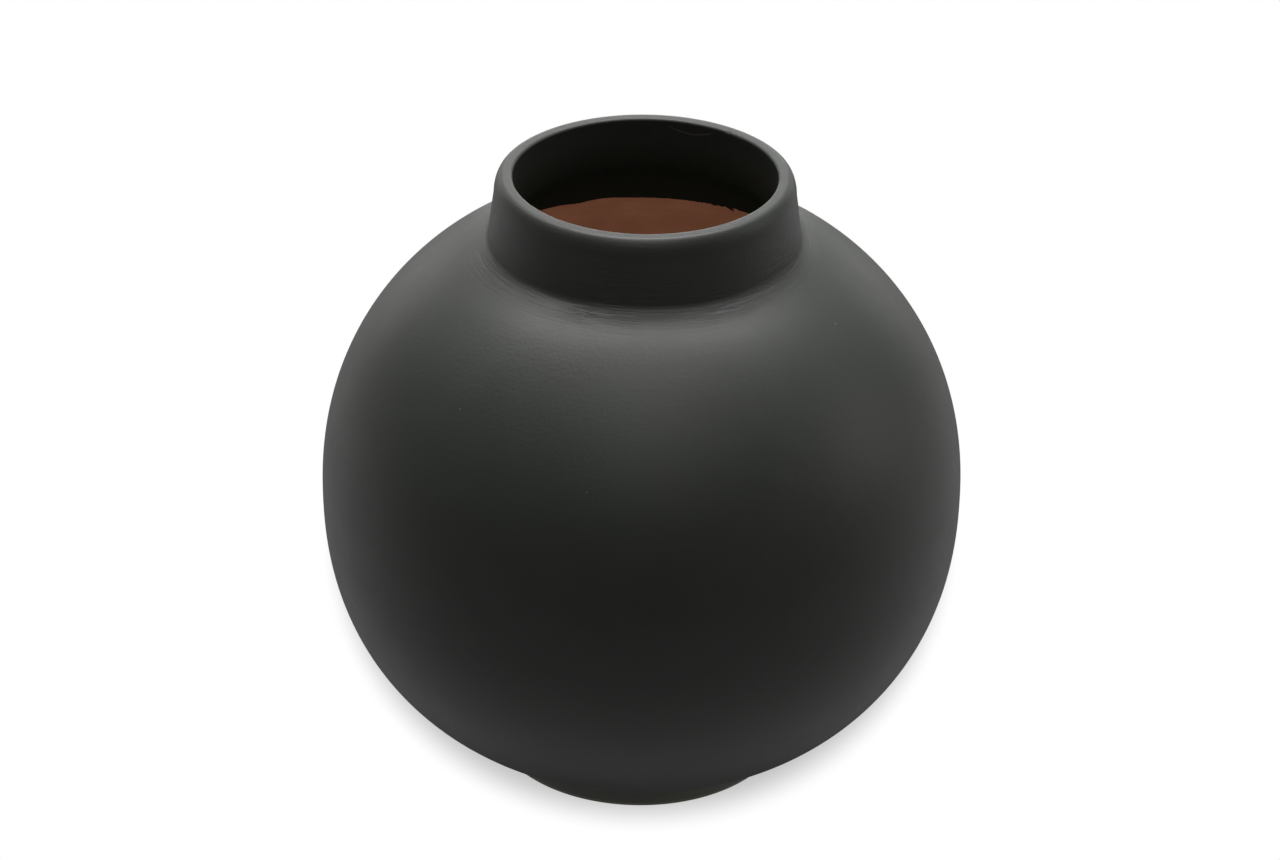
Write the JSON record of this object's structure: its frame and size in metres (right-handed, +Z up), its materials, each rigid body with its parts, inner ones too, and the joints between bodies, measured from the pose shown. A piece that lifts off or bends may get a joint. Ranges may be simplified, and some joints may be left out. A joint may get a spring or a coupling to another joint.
{
  "type": "clay pot",
  "caption": "Round matte black clay pot: a globe body on a low foot ring, with a short open collar neck and bare red clay inside.",
  "frame": {"origin": "centre of the pot's base, on the surface that it stands on", "axes": "+Z up along the pot's axis of turning; the pot is round, so X and Y are free"},
  "size_m": [0.25, 0.25, 0.2475],
  "materials": {
    "red_clay": "bare fired red-brown clay, matte",
    "luting_slip": "fired clay slip, matte",
    "black_slip": "smooth matte charcoal black"
  },
  "bodies": {
    "root": {"foot_ring": "red_clay", "foot_luting_slip": "luting_slip", "lower_bowl": "red_clay", "belly_luting_slip": "luting_slip", "upper_bowl": "red_clay", "neck_luting_slip": "luting_slip", "neck_collar": "red_clay", "black_slip_coat": "black_slip"}
  },
  "joints": []
}
